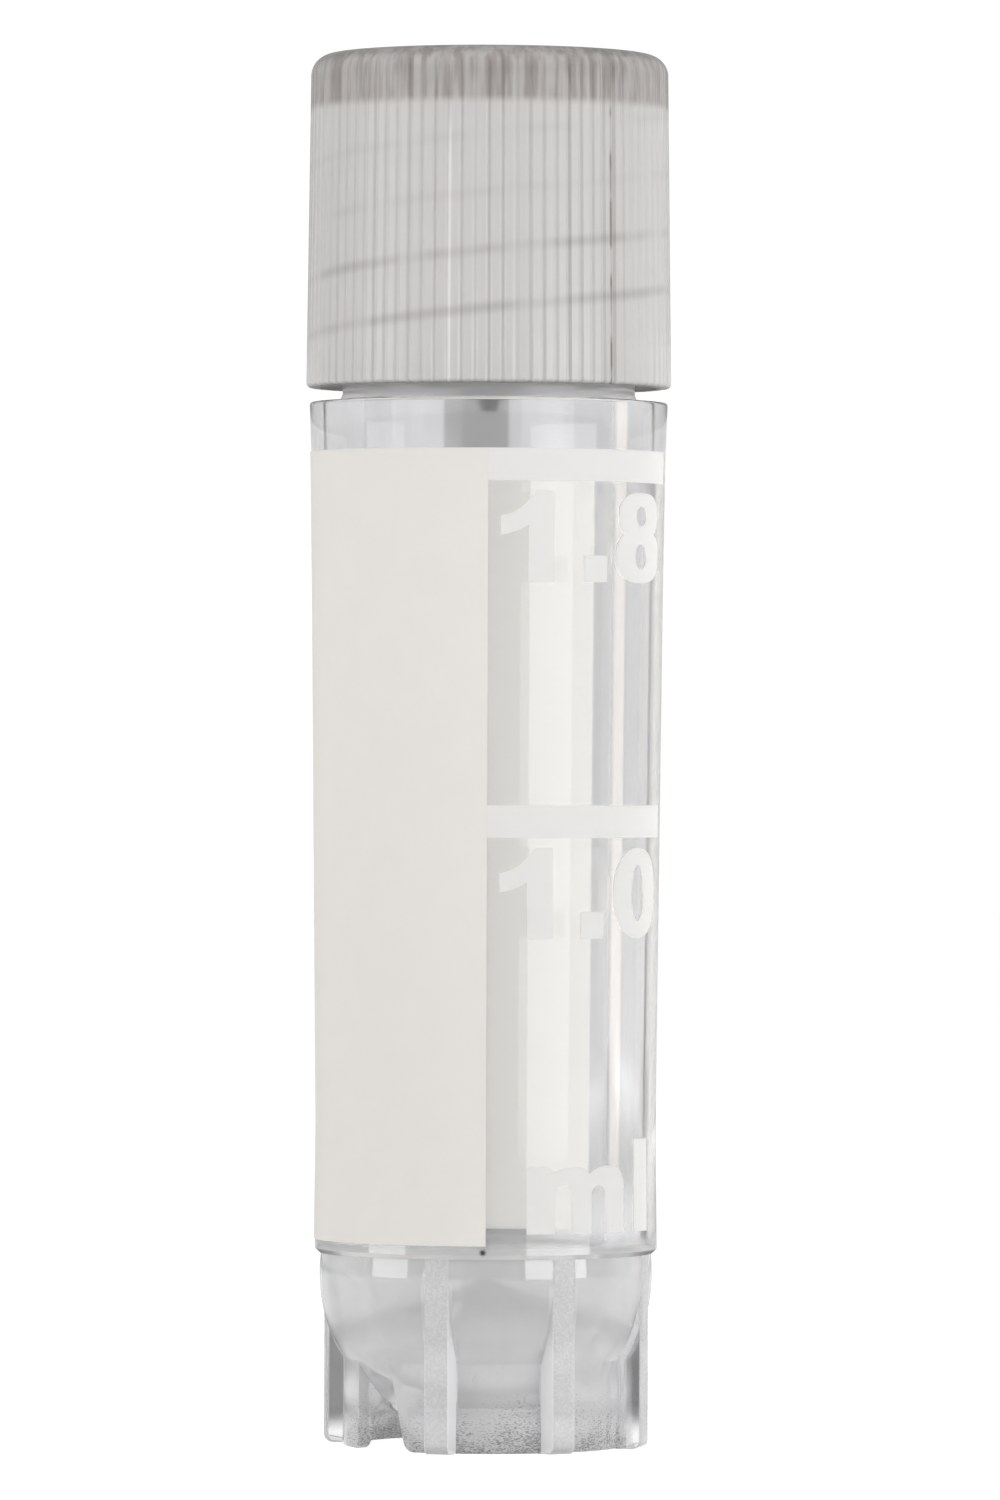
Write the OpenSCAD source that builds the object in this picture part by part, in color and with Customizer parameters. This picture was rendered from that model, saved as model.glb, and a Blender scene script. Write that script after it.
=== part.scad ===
// Self-standing cryogenic vial of the 2 ml class, with an outside thread and a screw cap.
//
// The tube is one moulded piece: a neck, a tapered body with a round bottom, and a foot
// whose ribs lock into a rack. The print on it is a writing patch and a volume scale.
// The cap carries a soft seal washer and turns up the thread. The thread itself is fine
// work and isn't modelled: the neck and the cap's bore are plain here.
//
// Sizes are millimetres. The axis is Z, the foot stands on z = 0, and the front is -Y.

/* [Tube] */
// Outside diameter at the shoulder, under the cap
shoulder_d = 12.5; // [12.4:0.05:12.6]
// Outside diameter where the writing patch starts
ledge_d = 12.36; // [12.3:0.02:12.4]
// Outside diameter a quarter of the way down the body
upper_d = 12.22; // [12.1:0.02:12.28]
// Outside diameter at the waist, the thinnest place
waist_d = 11.84; // [11.75:0.02:11.9]
// Outside diameter at the lower lip of the body
lip_d = 11.94; // [11.9:0.02:12]
// Height of the shoulder
shoulder_z = 36.37; // [36:0.01:36.6]
// Height of the rim, where the washer seals
rim_z = 46.9; // [46.6:0.1:47]
// Outside diameter of the neck, under its thread
neck_d = 10.2; // [10:0.1:10.3]
// Inside diameter at the rim
mouth_d = 8.86; // [8.7:0.02:9]
// Inside diameter where the round bottom begins
bore_d = 8.34; // [8.2:0.02:8.4]
// Height of the lowest point inside the tube
floor_z = 1.8; // [1.6:0.1:2]

/* [Foot] */
// Height of the step where the body ends and the foot begins
step_z = 6.72; // [6.6:0.02:6.9]
// Outside diameter of the round bottom
bulb_d = 11.6; // [11.5:0.02:11.7]
// Clearance between the round bottom and the surface below it
bulb_lift = 0.22; // [0.1:0.02:0.4]
// Outside diameter of the foot's skirt
skirt_d = 9.96; // [9.8:0.02:10.2]
// Inside diameter of the foot's skirt
skirt_bore_d = 8.6; // [8.5:0.05:8.8]
// Number of locking ribs on each half of the foot
half_ribs = 3; // [2:1:3]
// Angle between neighbouring ribs
rib_pitch = 45; // [42:1:45]
// Angle of the first rib, counted from the front towards +X
rib_angle = -17; // [-20:1:-14]
// Width of a rib at its outer face
rib_w = 0.88; // [0.7:0.02:1]
// How much wider a rib is at its root than at its face
rib_flare = 0.2; // [0:0.05:0.4]
// Angle of the first half's notch, counted from the front towards +X
notch_angle = -48; // [-50:1:-46]

/* [Print] */
// Thickness of the ink
ink_t = 0.04; // [0.03:0.01:0.06]
// Clearance between the ink's skin and the wall
ink_gap = 0.012; // [0.01:0.002:0.02]
// Angle of the writing patch round the tube, from the front towards -X
patch_sweep = 238; // [150:1:240]
// Height of the writing patch's lower edge
patch_z = 7.2; // [7.1:0.1:8]
// Height of the upper edge of the patch and of the top scale bar
bar_top_z = 34.63; // [34.2:0.01:34.8]
// Height of the upper edge of the lower scale bar
bar_low_z = 22.35; // [22:0.05:22.8]
// Height of a scale bar
bar_h = 1.12; // [0.9:0.02:1.3]
// Angle of the scale bars round the tube, from the front towards +X
bar_sweep = 78; // [70:1:84]
// Gap between a scale bar and the figures under it
figure_gap = 0.35; // [0.2:0.05:0.5]
// Height of the scale's figures
figure_h = 3.12; // [2.9:0.02:3.3]
// Height of the line on which the unit stands
unit_z = 7.6; // [7.2:0.1:8.2]

/* [Cap] */
// Height from the foot to the top of the closed cap
total_h = 48.5; // [48.3:0.1:48.8]
// Gap between the tube's shoulder and the closed cap
cap_gap = 0.5; // [0.3:0.05:0.8]
// Outside diameter at the cap's open edge
cap_open_d = 12.74; // [12.64:0.02:12.9]
// Outside diameter at the top of the cap's side
cap_top_d = 12.47; // [12.4:0.01:12.6]
// Radius of the cap's upper edge
cap_round = 0.75; // [0.5:0.05:1]
// Number of grip ridges round the cap
ridge_count = 84; // [72:1:96]
// Diameter across the bottoms of the grooves between the ridges
groove_d = 12.22; // [12.16:0.02:12.3]
// Diameter of the cap's bore, round the neck's thread
cap_bore_d = 11.3; // [11.2:0.05:11.4]
// Diameter of the plain lead-in at the cap's open edge
lead_in_d = 11.8; // [11.5:0.05:11.9]
// Depth of the plain lead-in
lead_in_h = 0.55; // [0.4:0.05:0.8]

/* [Seal washer] */
// Thickness of the washer between the rim and the cap
washer_t = 0.55; // [0.4:0.05:0.7]
// Outside diameter of the washer
washer_d = 11; // [10.6:0.1:11.1]
// Diameter of the hole in the washer
washer_hole_d = 7.4; // [6:0.1:8]

/* [Hidden] */
$fn = 96;

waist_z = 11.3;
upper_z = 30;
ledge_z = 34.4;
edge = 0.12;           // broken edge of the shoulder and the rim
neck_fillet = 0.28;    // slope from the shoulder into the neck
lip_edge = 0.16;       // slope under the body's lower lip
foot_round = 0.3;      // rounded lower edge of the ribs
rib_root_r = 4.6;      // where a rib's flanks end, inside the skirt
cap_z = shoulder_z + cap_gap;
cap_edge = 0.15;       // broken edge round the cap's opening
washer_z = rim_z + washer_t;
past = 1;              // how far a cutter runs past the face it opens
skirt_top_z = step_z + 0.2;

// The outside wall as [height, radius] stations, with straight runs between them
wall = [
    [step_z + lip_edge, lip_d / 2],
    [waist_z, waist_d / 2],
    [upper_z, upper_d / 2],
    [ledge_z, ledge_d / 2],
    [shoulder_z - edge, shoulder_d / 2]
];
function wall_r(z) = lookup(z, wall);

// Turns its children so that their +X points outwards at an angle counted from the front
module facing(angle) rotate([0, 0, angle - 90]) children();

// A flat shape, drawn as it reads from outside, pushed through the wall at an angle
module through_wall(angle) facing(angle)
    rotate([90, 0, 90]) linear_extrude(shoulder_d) children();

// ---------------------------------------------------------------- tube

// Half section of the tube's outside, from the step up to the rim
module outer_section() {
    neck_r = neck_d / 2;
    polygon(concat(
        [[0, step_z], [lip_d / 2 - lip_edge, step_z]],
        [for (station = wall) [station[1], station[0]]],
        [
            [shoulder_d / 2 - edge, shoulder_z],
            [neck_r + neck_fillet, shoulder_z],
            [neck_r, shoulder_z + neck_fillet],
            [neck_r, rim_z - edge],
            [neck_r - edge, rim_z],
            [0, rim_z]
        ]
    ));
}

// The space inside the tube: a tapered bore on a half-round bottom
module tube_bore() {
    bore_r = bore_d / 2;
    round_z = floor_z + bore_r;
    rotate_extrude() intersection() {
        union() {
            translate([0, round_z]) circle(bore_r);
            polygon([
                [0, round_z], [bore_r, round_z],
                [mouth_d / 2, rim_z], [mouth_d / 2, rim_z + past], [0, rim_z + past]
            ]);
        }
        square([shoulder_d, total_h]);
    }
}

// One rib of the foot, pointing along +X
module rib_section() polygon([
    [rib_root_r, -(rib_w + rib_flare) / 2],
    [bulb_d / 2, -rib_w / 2],
    [bulb_d / 2, rib_w / 2],
    [rib_root_r, (rib_w + rib_flare) / 2]
]);

// What the foot's ribs and skirt may fill: a cylinder with a rounded lower edge
module foot_envelope() {
    r = bulb_d / 2;
    rotate_extrude() union() {
        polygon([
            [0, 0], [r - foot_round, 0], [r - foot_round, foot_round],
            [r, foot_round], [r, skirt_top_z], [0, skirt_top_z]
        ]);
        translate([r - foot_round, foot_round]) circle(foot_round, $fn = 48);
    }
}

// A notch through the skirt: upright where the skirt ends, and sloping where it resumes.
// Its lower corners are rounded.
module notch() {
    low_z = -past;
    corner_z = 0.3;
    top_z = 3.5;
    through_wall(notch_angle) polygon([
        [-1.5, low_z], [-1.5, 0], [-1.26, 0.08], [-1.17, corner_z],
        [-1.17, top_z], [0.46, top_z], [1.16, corner_z],
        [1.3, 0.1], [1.55, 0], [1.55, low_z]
    ]);
}

// The foot's two halves are alike: a notch and then a run of ribs
module foot() difference() {
    intersection() {
        foot_envelope();
        linear_extrude(skirt_top_z) union() {
            circle(skirt_d / 2);
            for (half = [0, 180], i = [0 : half_ribs - 1])
                facing(rib_angle + half + i * rib_pitch) rib_section();
        }
    }
    translate([0, 0, -past]) cylinder(d = skirt_bore_d, h = step_z + past);
    for (half = [0, 180]) rotate([0, 0, half]) notch();
}

module tube() color("gainsboro", 0.55) difference() {
    union() {
        rotate_extrude() outer_section();
        translate([0, 0, bulb_lift + bulb_d / 2]) sphere(d = bulb_d);
        foot();
    }
    tube_bore();
}

// ---------------------------------------------------------------- print

// A skin of ink on the wall, from one height to another, turning from one angle to another
module ink(low_z, high_z, from_angle, to_angle) {
    turns = [for (station = wall) if (station[0] > low_z && station[0] < high_z) station[0]];
    heights = concat([low_z], turns, [high_z]);
    last = len(heights) - 1;
    facing(from_angle) rotate_extrude(angle = to_angle - from_angle) polygon(concat(
        [for (z = heights) [wall_r(z) + ink_gap, z]],
        [for (i = [last : -1 : 0]) [wall_r(heights[i]) + ink_gap + ink_t, heights[i]]]
    ));
}

// A flat figure printed on the wall, with its lower left corner at an angle and a height
module printed(angle, base_z, width, height) {
    radius = wall_r(base_z + height / 2);
    half = asin(width / 2 / radius);
    intersection() {
        ink(base_z - 0.1, base_z + height + 0.1, angle - 4, angle + 2 * half + 4);
        through_wall(angle + half) translate([-width / 2, base_z]) children();
    }
}

// An upright oval with its lower left corner at the origin
module oval(width, height) for (z = [width / 2, height - width / 2]) {
    translate([width / 2, z]) circle(d = width, $fn = 48);
    translate([0, width / 2]) square([width, height - width]);
}

// An oval that lies on its side, with its lower left corner at the origin
module lying_oval(width, height) {
    for (x = [height / 2, width - height / 2])
        translate([x, height / 2]) circle(d = height, $fn = 48);
    translate([height / 2, 0]) square([width - height, height]);
}

module one(h) {
    stem_w = 0.9;
    flag_w = 0.96;
    polygon([
        [flag_w, 0], [flag_w + stem_w, 0], [flag_w + stem_w, h], [flag_w + 0.25, h],
        [flag_w - 0.35, h - 0.5], [0, h - 0.84], [0, h - 1.52], [flag_w, h - 1.18]
    ]);
}

module zero(h) {
    stroke = 0.98;
    difference() {
        oval(2.78, h);
        translate([stroke, stroke * 0.6]) oval(0.8, h - 1.2 * stroke);
    }
}

module eight(h) {
    lower_w = 2.82;
    lower_h = 1.84;
    upper_w = 2.56;
    upper_h = 1.62;
    difference() {
        union() {
            lying_oval(lower_w, lower_h);
            translate([(lower_w - upper_w) / 2, h - upper_h]) lying_oval(upper_w, upper_h);
        }
        translate([lower_w / 2, lower_h / 2]) circle(0.4, $fn = 48);
        translate([lower_w / 2, h - upper_h / 2]) circle(0.34, $fn = 48);
    }
}

module stop() square([1, 0.92]);

// The letter n, of which the unit's first letter is two
module arch(width, h, left_w, right_w) {
    gap = width - left_w - right_w;
    crown = 0.62;
    difference() {
        union() {
            square([width, h - crown]);
            square([left_w, h]);
            translate([crown, h - 2 * crown]) square([width - 2 * crown, 2 * crown]);
            translate([width - crown, h - crown]) circle(crown, $fn = 48);
        }
        translate([left_w, -past]) square([gap, h - crown + past - gap / 2]);
        translate([left_w + gap / 2, h - crown - gap / 2]) circle(d = gap, $fn = 48);
    }
}

module letter_m(h) {
    arch(2.45, h, 0.99, 0.81);
    translate([1.64, 0]) arch(2.33, h, 0.81, 0.9);
}

module letter_l(h) square([1, h]);

module writing_patch() color("whitesmoke") ink(patch_z, bar_top_z, -patch_sweep, 0);

module graduation_marks() color("white") {
    for (z = [bar_top_z, bar_low_z]) {
        ink(z - bar_h, z, 0, bar_sweep);
        figure_z = z - bar_h - figure_gap - figure_h;
        printed(4.1, figure_z, 1.86, figure_h) one(figure_h);
        printed(32.5, figure_z, 1, 0.92) stop();
    }
    printed(45.8, bar_top_z - bar_h - figure_gap - figure_h, 2.82, figure_h) eight(figure_h);
    printed(46.3, bar_low_z - bar_h - figure_gap - figure_h, 2.78, figure_h) zero(figure_h);
    printed(13.6, unit_z, 3.97, 2.33) letter_m(2.33);
    printed(58.8, unit_z, 1, 3.2) letter_l(3.2);
}

// ---------------------------------------------------------------- cap

// Half section of the cap's outside: a slight taper and a rounded upper edge
module cap_section() {
    open_r = cap_open_d / 2;
    top_r = cap_top_d / 2;
    round_z = total_h - cap_round;
    polygon([
        [0, cap_z], [open_r - cap_edge, cap_z], [open_r, cap_z + cap_edge], [top_r, round_z],
        [top_r - cap_round, round_z], [top_r - cap_round, total_h], [0, total_h]
    ]);
    translate([top_r - cap_round, round_z]) circle(cap_round);
}

// Half section of the space in the cap: lead-in, bore and washer seat
module cap_bore_section() {
    bore_r = cap_bore_d / 2;
    lead_r = lead_in_d / 2;
    lead_z = cap_z + lead_in_h;
    polygon([
        [0, cap_z - past], [lead_r, cap_z - past], [lead_r, lead_z],
        [bore_r, lead_z + lead_r - bore_r], [bore_r, washer_z], [0, washer_z]
    ]);
}

// The ring of grip ridges, seen from above: each ridge has two flanks and a flat crest
module ridge_section() {
    pitch = 360 / ridge_count;
    crest_r = cap_open_d / 2 + 0.01;
    groove_r = groove_d / 2;
    polygon([for (i = [0 : ridge_count - 1]) for (corner = [
        [0, groove_r], [0.3, groove_r], [0.5, crest_r], [0.8, crest_r]
    ]) corner[1] * [cos((i + corner[0]) * pitch), sin((i + corner[0]) * pitch)]]);
}

module cap() color("lightgray", 0.8) difference() {
    intersection() {
        rotate_extrude() cap_section();
        translate([0, 0, cap_z - past]) linear_extrude(total_h) ridge_section();
    }
    rotate_extrude() cap_bore_section();
}

// ---------------------------------------------------------------- seal washer

module seal_washer() color("white", 0.9) translate([0, 0, rim_z]) difference() {
    cylinder(d = washer_d, h = washer_t);
    translate([0, 0, -past]) cylinder(d = washer_hole_d, h = washer_t + 2 * past);
}

tube();
writing_patch();
graduation_marks();
seal_washer();
cap();
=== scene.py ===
# %% [markdown]
# # A self-standing cryovial
# A cryovial is a small screw-capped tube for samples that are kept in liquid nitrogen. This
# one has a tapered tube with a round bottom, a ribbed foot that locks into a rack, a matt
# patch to write on, a printed volume scale, and a knurled cap with a soft washer in it.
# The CAD model is loaded first and never changes. Each piece below takes its place from it.

# %% Load the frame
import math

import bmesh
import bpy
from mathutils import Matrix, Vector


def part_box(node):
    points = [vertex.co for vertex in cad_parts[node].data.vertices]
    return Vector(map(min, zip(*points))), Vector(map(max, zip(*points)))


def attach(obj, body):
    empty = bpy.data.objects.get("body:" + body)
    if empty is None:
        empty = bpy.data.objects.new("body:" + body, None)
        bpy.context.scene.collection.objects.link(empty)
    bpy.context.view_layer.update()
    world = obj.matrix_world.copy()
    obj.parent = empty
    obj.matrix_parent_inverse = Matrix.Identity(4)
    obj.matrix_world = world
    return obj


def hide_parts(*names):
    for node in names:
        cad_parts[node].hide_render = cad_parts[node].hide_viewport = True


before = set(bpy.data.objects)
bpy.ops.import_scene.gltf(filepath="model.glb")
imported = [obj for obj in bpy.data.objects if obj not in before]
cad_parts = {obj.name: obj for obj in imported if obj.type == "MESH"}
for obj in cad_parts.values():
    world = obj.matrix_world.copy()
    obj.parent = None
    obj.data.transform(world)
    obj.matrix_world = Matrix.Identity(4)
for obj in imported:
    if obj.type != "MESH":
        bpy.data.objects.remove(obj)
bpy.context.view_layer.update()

MM = 0.001
scene = bpy.context.scene

# %% [markdown]
# ## Sizes
# The heights that the CAD model fixes are read from its boxes. The rest are the real
# object's sizes in millimetres, as a moulder's drawing would give them.

# %% Heights from the frame, sizes in millimetres
RIM_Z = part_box("tube")[1].z / MM
CAP_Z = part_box("cap")[0].z / MM
TOP_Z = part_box("cap")[1].z / MM
CAP_OPEN_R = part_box("cap")[1].x / MM
WASHER_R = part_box("seal_washer")[1].x / MM
WASHER_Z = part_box("seal_washer")[1].z / MM
PATCH_LOW, PATCH_HIGH = (corner.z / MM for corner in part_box("writing_patch"))

STEP_Z = 6.72
SHOULDER_Z = 36.37
BULB_R = 5.8
BULB_LIFT = 0.22
NECK_R = 5.1
MOUTH_R = 4.43
BORE_R = 4.17
FLOOR_Z = 1.8
# The outside wall, as (height, radius) with straight runs between
WALL = [(6.88, 5.97), (11.3, 5.92), (30.0, 6.11), (34.4, 6.18), (36.25, 6.25)]
LEAD = 4.0    # rise of the thread in one turn
STARTS = 2    # the thread has two starts, so its ridges lie 2 mm apart
print(f"rim {RIM_Z:.2f}, cap {CAP_Z:.2f} to {TOP_Z:.2f}, washer to {WASHER_Z:.2f} mm")


def wall_r(z):
    """Radius of the tube's outside wall at a height, both in millimetres."""
    for (z0, r0), (z1, r1) in zip(WALL, WALL[1:]):
        if z <= z1:
            return r0 + (r1 - r0) * (z - z0) / (z1 - z0)
    return WALL[-1][1]


# %% [markdown]
# ## Turning a section
# Tube, cap and washer are round, so each starts as a half section that is turned round the
# axis, as on a lathe. A section is a list of (radius, height) stations. A third number says
# how strongly a thread or a grip ridge may move that ring later.

# %% Helpers that turn sections
def arc(centre, radius, start, end, steps):
    """Stations along an arc, with its angles in degrees from the +radius direction."""
    turns = [math.radians(start + (end - start) * i / steps) for i in range(steps + 1)]
    return [(centre[0] + radius * math.cos(t), centre[1] + radius * math.sin(t)) for t in turns]


def bend(start, pull, end, steps=6):
    """Points on a curve from start to end that leans towards pull."""
    weights = [((1 - t) ** 2, 2 * t * (1 - t), t * t) for t in (i / steps for i in range(steps + 1))]
    return [tuple(u * a + v * b + w * c for a, b, c in zip(start, pull, end)) for u, v, w in weights]


def run(start, end, steps):
    """Evenly spaced stations from one to another, both included."""
    return [(start[0] + (end[0] - start[0]) * i / steps, start[1] + (end[1] - start[1]) * i / steps)
            for i in range(steps + 1)]


def swept(bm, section, segments, layer, loop=False):
    """Rings of points, one for each station, with faces between. A ring on the axis is a point."""
    rings = []
    for station in section:
        r, z = station[0], station[1]
        count = 1 if r < 1e-6 else segments
        ring = []
        for i in range(count):
            turn = 2 * math.pi * i / segments
            vert = bm.verts.new((r * math.cos(turn) * MM, r * math.sin(turn) * MM, z * MM))
            vert[layer] = station[2] if len(station) > 2 else 0.0
            ring.append(vert)
        rings.append(ring)
    for low, high in zip(rings, rings[1:] + rings[:1] if loop else rings[1:]):
        for i in range(segments):
            j = (i + 1) % segments
            corners = [low[i % len(low)], low[j % len(low)], high[j % len(high)], high[i % len(high)]]
            bm.faces.new(list(dict.fromkeys(corners)))
    return rings


def turned(name, section, segments, loop=False):
    """A closed surface of revolution."""
    bm = bmesh.new()
    swept(bm, section, segments, bm.verts.layers.float.new("thread"), loop)
    bmesh.ops.recalc_face_normals(bm, faces=bm.faces)
    return made(name, bm)


def made(name, bm):
    """Turns a bmesh into an object at the origin."""
    mesh = bpy.data.meshes.new(name)
    bm.to_mesh(mesh)
    bm.free()
    piece = bpy.data.objects.new(name, mesh)
    scene.collection.objects.link(piece)
    return piece


def smoothed(piece, angle=32):
    """Shades a piece smooth and keeps its corners sharp."""
    piece.data.shade_smooth()
    piece.data.set_sharp_from_angle(angle=math.radians(angle))
    return piece


# %% [markdown]
# ## Materials
# The vial has four finishes: clear plastic, hazy plastic, silicone and ink. Each is one
# Principled shader whose sockets follow masks, which are numbers between 0 and 1 that say
# where a mark is. Masks are worked out from the place on the piece, so they need no image.
# Colours are sRGB hex values, which one function turns to linear light.

# %% Material helpers
def linear(code):
    """An sRGB hex colour as linear RGBA."""
    parts = [int(code[i : i + 2], 16) / 255 for i in (1, 3, 5)]
    return tuple(p / 12.92 if p <= 0.04045 else ((p + 0.055) / 1.055) ** 2.4 for p in parts) + (1.0,)


def add(tree, kind, inputs=None, **settings):
    """Adds a node. Inputs are values or sockets, and settings are the node's own options."""
    node = tree.nodes.new(kind)
    for key, value in settings.items():
        setattr(node, key, value)
    for key, value in (inputs or {}).items():
        if isinstance(value, bpy.types.NodeSocket):
            tree.links.new(value, node.inputs[key])
        else:
            node.inputs[key].default_value = value
    return node


def new_material(name, base, **sockets):
    """A material with a Principled shader, whose constant sockets are set by name."""
    material = bpy.data.materials.new(name)
    material.use_nodes = True
    tree = material.node_tree
    shader = tree.nodes["Principled BSDF"]
    shader.inputs["Base Color"].default_value = linear(base)
    for key, value in sockets.items():
        shader.inputs[key.replace("_", " ")].default_value = value
    return material, tree, shader


def ramp(tree, value, low, high, start, end, smooth=True):
    """Maps a value from one range to another, held at both ends."""
    kind = "SMOOTHSTEP" if smooth else "LINEAR"
    node = add(tree, "ShaderNodeMapRange", {"Value": value, "From Min": low, "From Max": high,
               "To Min": start, "To Max": end}, interpolation_type=kind)
    return node.outputs["Result"]


def above(tree, value, low, high):
    """A mask that goes from 0 at a low size to 1 at a high one, both in millimetres."""
    return ramp(tree, value, low * MM, high * MM, 0.0, 1.0)


def below(tree, value, low, high):
    """A mask that goes from 1 at a low size to 0 at a high one, both in millimetres."""
    return ramp(tree, value, low * MM, high * MM, 1.0, 0.0)


def dims_inside(tree, strength, colour):
    """Takes some light along its way through the plastic, so that thick places look darker."""
    body = add(tree, "ShaderNodeVolumeAbsorption", {"Color": linear(colour), "Density": strength})
    tree.links.new(body.outputs[0], tree.nodes["Material Output"].inputs["Volume"])


def math_node(tree, operation, *values):
    """The result of one Math node."""
    return add(tree, "ShaderNodeMath", dict(enumerate(values)), operation=operation).outputs[0]


def noise_of(tree, place, size, detail=2.0):
    """Noise whose blots are about so many millimetres wide."""
    node = add(tree, "ShaderNodeTexNoise", {"Vector": place, "Scale": 1 / (size * MM), "Detail": detail})
    return node.outputs["Fac"]


def stretched(tree, place, upright):
    """The place with its height multiplied, which flattens a pattern or draws it out."""
    scaled = add(tree, "ShaderNodeVectorMath", {0: place, 1: (1.0, 1.0, upright)}, operation="MULTIPLY")
    return scaled.outputs["Vector"]


def grained(tree, shader, grain, strength):
    """Gives the surface a fine moulded grain, two hundredths of a millimetre deep."""
    bump = add(tree, "ShaderNodeBump", {"Strength": strength, "Distance": 0.02 * MM, "Height": grain})
    tree.links.new(bump.outputs["Normal"], shader.inputs["Normal"])


def cylinder_place(tree):
    """The place on the piece, and its angle, radius and height, in radians and metres."""
    place = add(tree, "ShaderNodeTexCoord").outputs["Object"]
    xyz = add(tree, "ShaderNodeSeparateXYZ", {"Vector": place}).outputs
    turn = math_node(tree, "ARCTAN2", xyz["Y"], xyz["X"])
    squares = [math_node(tree, "MULTIPLY", xyz[axis], xyz[axis]) for axis in "XY"]
    radius = math_node(tree, "SQRT", math_node(tree, "ADD", *squares))
    return place, turn, radius, xyz["Z"]


def overlap(tree, *masks):
    """Where all of the masks are on."""
    result = masks[0]
    for mask in masks[1:]:
        result = math_node(tree, "MULTIPLY", result, mask)
    return result


def spot(tree, place, centre, size):
    """A small round mark, with its centre and its radius in millimetres."""
    away = add(tree, "ShaderNodeVectorMath", {0: place, 1: Vector(centre) * MM}, operation="DISTANCE")
    return ramp(tree, away.outputs["Value"], 0.3 * size * MM, size * MM, 1.0, 0.0)


def mixed_colour(tree, share, *colours):
    """One colour where the share is 0, another where it is 1. Each is a hex value or a socket."""
    first, second = (linear(colour) if isinstance(colour, str) else colour for colour in colours)
    node = add(tree, "ShaderNodeMix", {"Factor": share, "A": first, "B": second}, data_type="RGBA")
    return node.outputs["Result"]


# %% [markdown]
# ## The clear plastic of the tube
# The tube is natural polypropylene, moulded against polished steel. The wall passes light and
# bends it, so that the eye sees the room through it and bright bands where it mirrors the
# lamps. The foot and the neck are milkier, and the ribs' outer faces are dull from the mould.
# The tube is one body, and separate materials would leave hard borders on it. So one shader
# is used, and masks of angle, radius and height say where it is milky, rough, marked or darker.

# %% Clear polypropylene
CLEAR = "#fbfbfc"
SKIRT_R, SKIRT_BORE_R = 4.98, 4.3
HALF_RIBS = 3          # ribs on each half of the foot, with a notch before them
RIB_PITCH = 45.0
RIB_ANGLE = -17.0      # of the first rib, from the front towards +X, in degrees
RIB_FACE, RIB_ROOT = 0.44, 0.54   # half widths of a rib at its face and at its root
FOOT_CLEARS = (6.9, 7.4)          # heights between which the milky foot clears into the wall

# Light that goes a long way through the plastic is greyed a little. A thin gloss over the
# foot gives it the sparkle of its many small edges.
clear_pp, tree, shader = new_material("moulded_polypropylene", CLEAR, IOR=1.49, Coat_IOR=1.8)
dims_inside(tree, 25.0, "#9a9ca2")
place, turn, radius, height = cylinder_place(tree)
in_foot = below(tree, height, *FOOT_CLEARS)
on_neck = above(tree, height, SHOULDER_Z + 0.02, SHOULDER_Z + 0.1)
beyond_skirt = above(tree, radius, SKIRT_R + 0.07, SKIRT_R + 0.12)

# %% Masks for the faces and the flanks of the ribs
SOFT_TURN = 0.01       # radians in which a mask goes from off to on

# The angle is counted within one half of the foot, and starts half a pitch before a rib.
half_pitch = math.radians(RIB_PITCH / 2)
last_rib, last_end = (math.radians(count * RIB_PITCH) for count in (HALF_RIBS - 1, HALF_RIBS))
from_first = math_node(tree, "SUBTRACT", turn, math.radians(RIB_ANGLE - 90) - half_pitch)
within_half = math_node(tree, "FLOORED_MODULO", from_first, math.pi)
within_pitch = math_node(tree, "FLOORED_MODULO", within_half, 2 * half_pitch)
off_middle = math_node(tree, "ABSOLUTE", math_node(tree, "SUBTRACT", within_pitch, half_pitch))
beside = math_node(tree, "MULTIPLY", off_middle, radius)
a_rib = ramp(tree, within_half, last_end, last_end + SOFT_TURN, 1.0, 0.0)
on_face = overlap(tree, a_rib, above(tree, radius, BULB_R - 0.1, BULB_R - 0.02),
                  below(tree, beside, RIB_FACE - 0.04, RIB_FACE + 0.02),
                  below(tree, height, STEP_Z - 0.02, STEP_Z + 0.02))

# The flanks of the last rib of each half are polished and clear, and those of the others milky.
on_rib = overlap(tree, a_rib, beyond_skirt, below(tree, beside, RIB_ROOT, RIB_ROOT + 0.06))
clear_flank = overlap(tree, on_rib, ramp(tree, within_half, last_rib, last_rib + SOFT_TURN, 0.0, 1.0),
                      below(tree, radius, BULB_R - 0.1, BULB_R - 0.04), below(tree, height, 3.6, 5.0))
milky_flank = overlap(tree, on_rib, ramp(tree, within_half, last_rib, last_rib + SOFT_TURN, 1.0, 0.0),
                      above(tree, beside, RIB_FACE - 0.06, RIB_FACE - 0.01),
                      ramp(tree, height, 3.6 * MM, 4.6 * MM, 1.0, 0.3), below(tree, height, 5.6, 6.0))
off_clear = math_node(tree, "SUBTRACT", 1.0, clear_flank)
print(f"a rib is {2 * RIB_FACE} mm wide at its face and {2 * RIB_ROOT} mm at its root")

# %% Pits, marks and a darker lower edge
DARK_TINT = "#55504e"
SPECK = (-0.1, -5.96, 6.98)

# The mould's roughness on the ribs' faces is finer than these pits, which are drawn at 0.09 mm
# so that they show.
pits = noise_of(tree, place, 0.09, 3.0)
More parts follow.
